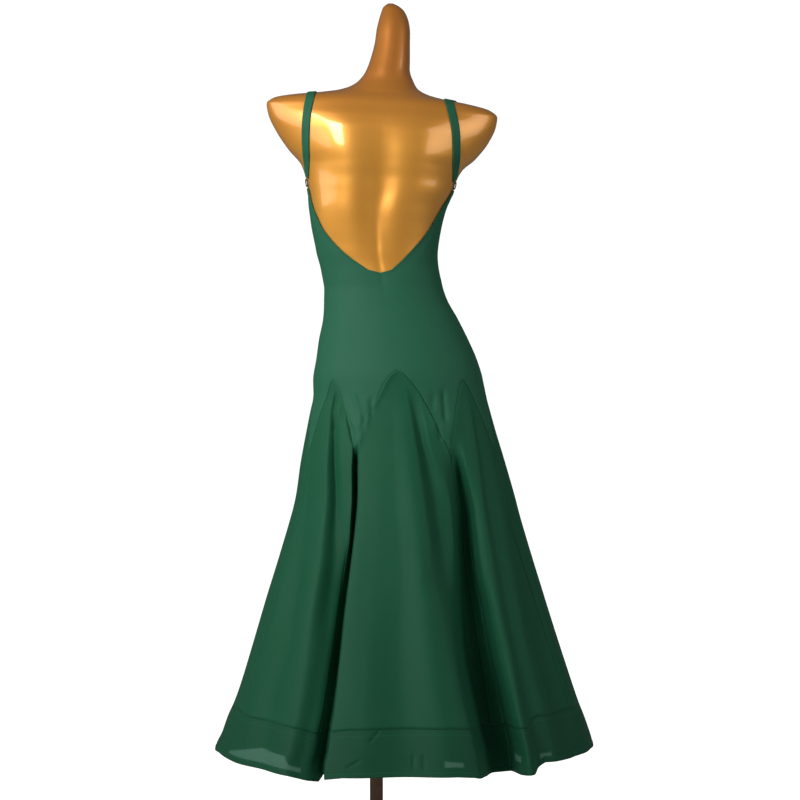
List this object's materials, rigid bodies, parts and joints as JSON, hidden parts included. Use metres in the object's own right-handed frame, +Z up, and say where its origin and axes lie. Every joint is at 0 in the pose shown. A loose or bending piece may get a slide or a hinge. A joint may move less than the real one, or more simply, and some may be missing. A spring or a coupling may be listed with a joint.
{
  "type": "dance dress on a dress form",
  "caption": "Backless dance dress with narrow shoulder straps, a fitted body and a flared godet skirt with a stitched hem band, worn by a limbless dress form on a pole.",
  "frame": {"origin": "on the floor, at the centre of the foot's flat underside, on the axis of the pole", "axes": "+Z up along the pole, -Y the way the dress faces, +X towards the wearer's left"},
  "size_m": [0.7174, 0.6927, 1.699],
  "materials": {
    "bodice_back": "matt stretch jersey with a slight sheen",
    "bodice_front": "matt stretch jersey with a slight sheen",
    "godet_back": "matt stretch jersey with a slight sheen",
    "godet_back_left": "matt stretch jersey with a slight sheen",
    "godet_back_right": "matt stretch jersey with a slight sheen",
    "godet_left": "matt stretch jersey with a slight sheen",
    "godet_right": "matt stretch jersey with a slight sheen",
    "godet_front_left": "matt stretch jersey with a slight sheen",
    "godet_front_right": "matt stretch jersey with a slight sheen",
    "godet_front": "matt stretch jersey with a slight sheen",
    "hem_band_back": "matt stretch jersey, turned up and stitched",
    "hem_band_front": "matt stretch jersey, turned up and stitched",
    "strap_left": "matt stretch jersey with a slight sheen",
    "strap_right": "matt stretch jersey with a slight sheen",
    "strap_ring_left": "satin",
    "strap_ring_right": "satin",
    "form_torso": "polished gold lacquer",
    "form_pole": "dark bronze, polished",
    "form_base": "dark bronze, satin"
  },
  "bodies": {
    "root": {"bodice_back": "bodice_back", "bodice_front": "bodice_front", "godet_back": "godet_back", "godet_back_left": "godet_back_left", "godet_back_right": "godet_back_right", "godet_left": "godet_left", "godet_right": "godet_right", "godet_front_left": "godet_front_left", "godet_front_right": "godet_front_right", "godet_front": "godet_front", "hem_band_back": "hem_band_back", "hem_band_front": "hem_band_front", "strap_left": "strap_left", "strap_right": "strap_right", "strap_ring_left": "strap_ring_left", "strap_ring_right": "strap_ring_right", "form_torso": "form_torso", "form_pole": "form_pole", "form_base": "form_base"}
  },
  "joints": []
}
